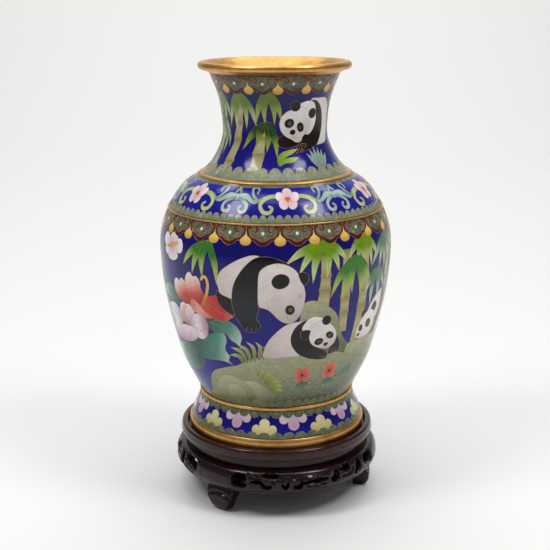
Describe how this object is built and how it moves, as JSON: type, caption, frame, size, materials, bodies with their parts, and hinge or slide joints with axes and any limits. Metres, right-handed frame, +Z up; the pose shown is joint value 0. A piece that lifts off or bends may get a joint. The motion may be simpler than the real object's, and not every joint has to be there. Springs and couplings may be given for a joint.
{
  "type": "cloisonne vase",
  "caption": "Baluster cloisonne vase in copper sections with enamel layers and gilt seam rings, lifting off a round pierced wooden stand on three legs.",
  "frame": {"origin": "on the floor under the vase's axis, level with the soles of the three legs", "axes": "+Z up along the vase's axis, -Y towards the main picture"},
  "size_m": [0.1584, 0.1584, 0.3005],
  "materials": {
    "picture_enamel": "fired, ground and polished glass enamel between gilt wires, glossy",
    "lining_enamel": "unpolished counter enamel, softly glossy",
    "copper_sheet": "spun copper sheet, hidden between the enamels",
    "gilt_brass": "gilt brass, polished with light wear",
    "red_wood": "stained red-brown hardwood under gloss lacquer",
    "dark_wood": "carved hardwood stained nearly black, gloss lacquer"
  },
  "bodies": {
    "stand": {"stand_ring": "red_wood", "stand_panel": "red_wood", "stand_waist": "dark_wood", "stand_apron_1": "dark_wood", "stand_apron_2": "dark_wood", "stand_apron_3": "dark_wood", "stand_leg_1": "dark_wood", "stand_leg_2": "dark_wood", "stand_leg_3": "dark_wood", "stand_dowel_1": "dark_wood", "stand_dowel_2": "dark_wood", "stand_dowel_3": "dark_wood"},
    "vase": {"neck_shell": "copper_sheet", "shoulder_shell": "copper_sheet", "belly_shell": "copper_sheet", "foot_shell": "copper_sheet", "neck_enamel": "picture_enamel", "shoulder_enamel": "picture_enamel", "belly_enamel": "picture_enamel", "foot_enamel": "picture_enamel", "mouth_rim": "gilt_brass", "neck_ring": "gilt_brass", "shoulder_ring": "gilt_brass", "waist_ring": "gilt_brass", "foot_ring": "gilt_brass", "neck_lining": "lining_enamel", "body_lining": "lining_enamel", "floor_plate": "copper_sheet", "base_plate": "copper_sheet", "base_enamel": "lining_enamel"}
  },
  "joints": [
    {"name": "vase_lift", "type": "slide", "parent": "stand", "child": "vase", "axis": [0, 0, 1], "range_m": [0, 0.1]}
  ]
}
